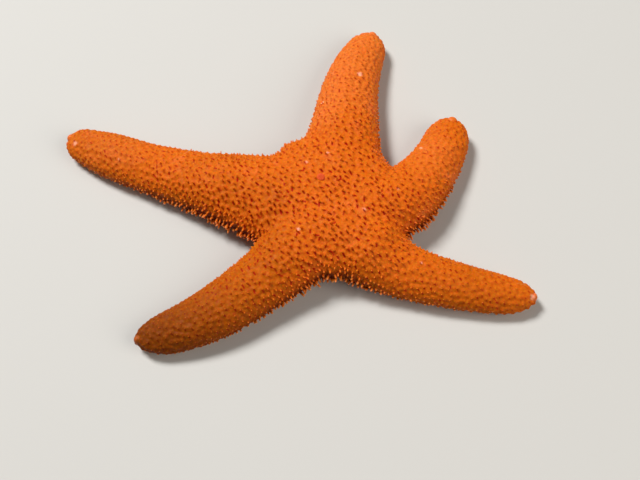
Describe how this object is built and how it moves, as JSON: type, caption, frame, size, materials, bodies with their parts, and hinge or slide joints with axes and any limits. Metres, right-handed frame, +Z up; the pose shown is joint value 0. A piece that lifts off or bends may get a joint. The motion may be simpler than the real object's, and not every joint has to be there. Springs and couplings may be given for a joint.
{
  "type": "sea star",
  "caption": "Orange sea star lying flat, with thick tapering arms, one of them curled, short blunt spines all over, and grooves with tube feet underneath.",
  "frame": {"origin": "middle of the bounding box's base, on the floor that the sole lies on", "axes": "+X along the widest spread, from the long left arm's tip to the right front arm's tip; +Y towards the back arm; +Z up"},
  "size_m": [0.1978, 0.1588, 0.0223],
  "materials": {
    "skin": "wet, leathery skin with blunt limy spines, satin",
    "tip": "thin skin over a small plate, with a red eyespot",
    "madreporite": "grooved limy sieve plate, matt",
    "mouth": "soft pale membrane, wet"
  },
  "bodies": {
    "root": {"disc": "skin", "arm_left": "skin", "arm_back": "skin", "arm_right_back": "skin", "arm_right_front": "skin", "arm_left_front": "skin", "tip_left": "tip", "tip_back": "tip", "tip_right_back": "tip", "tip_right_front": "tip", "tip_left_front": "tip", "madreporite": "madreporite", "mouth": "mouth"}
  },
  "joints": []
}
